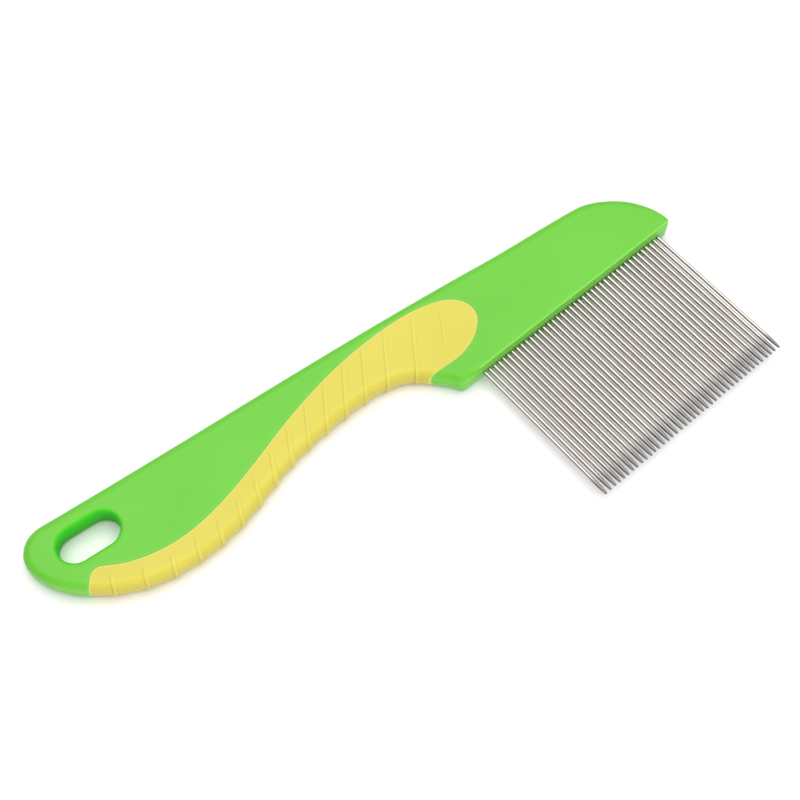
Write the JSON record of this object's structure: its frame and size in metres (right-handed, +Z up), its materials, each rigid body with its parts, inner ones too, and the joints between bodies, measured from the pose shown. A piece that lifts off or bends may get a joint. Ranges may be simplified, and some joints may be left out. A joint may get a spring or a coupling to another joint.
{
  "type": "flea comb",
  "caption": "Flat one-piece comb handle and head with a soft ribbed grip, a hanging slot and a straight row of long tapered steel pins.",
  "frame": {"origin": "centre of the bounding box's base, on the plane that the comb lies on", "axes": "+X along the tooth row from the handle's tail to the head; teeth point along -Y; +Z up through the thickness"},
  "size_m": [0.195, 0.086, 0.0072],
  "materials": {
    "lime_plastic": "satin moulded polypropylene, lime green",
    "yellow_rubber": "soft matte over-moulded elastomer, yellow",
    "stainless_steel": "polished drawn stainless pins with satin ground points"
  },
  "bodies": {
    "root": {"handle_body": "lime_plastic", "grip": "yellow_rubber", "tooth_01": "stainless_steel", "tooth_02": "stainless_steel", "tooth_03": "stainless_steel", "tooth_04": "stainless_steel", "tooth_05": "stainless_steel", "tooth_06": "stainless_steel", "tooth_07": "stainless_steel", "tooth_08": "stainless_steel", "tooth_09": "stainless_steel", "tooth_10": "stainless_steel", "tooth_11": "stainless_steel", "tooth_12": "stainless_steel", "tooth_13": "stainless_steel", "tooth_14": "stainless_steel", "tooth_15": "stainless_steel", "tooth_16": "stainless_steel", "tooth_17": "stainless_steel", "tooth_18": "stainless_steel", "tooth_19": "stainless_steel", "tooth_20": "stainless_steel", "tooth_21": "stainless_steel", "tooth_22": "stainless_steel", "tooth_23": "stainless_steel", "tooth_24": "stainless_steel", "tooth_25": "stainless_steel", "tooth_26": "stainless_steel", "tooth_27": "stainless_steel", "tooth_28": "stainless_steel", "tooth_29": "stainless_steel", "tooth_30": "stainless_steel", "tooth_31": "stainless_steel", "tooth_32": "stainless_steel", "tooth_33": "stainless_steel", "tooth_34": "stainless_steel", "tooth_35": "stainless_steel", "tooth_36": "stainless_steel", "tooth_37": "stainless_steel", "tooth_38": "stainless_steel", "tooth_39": "stainless_steel", "tooth_40": "stainless_steel", "tooth_41": "stainless_steel"}
  },
  "joints": []
}
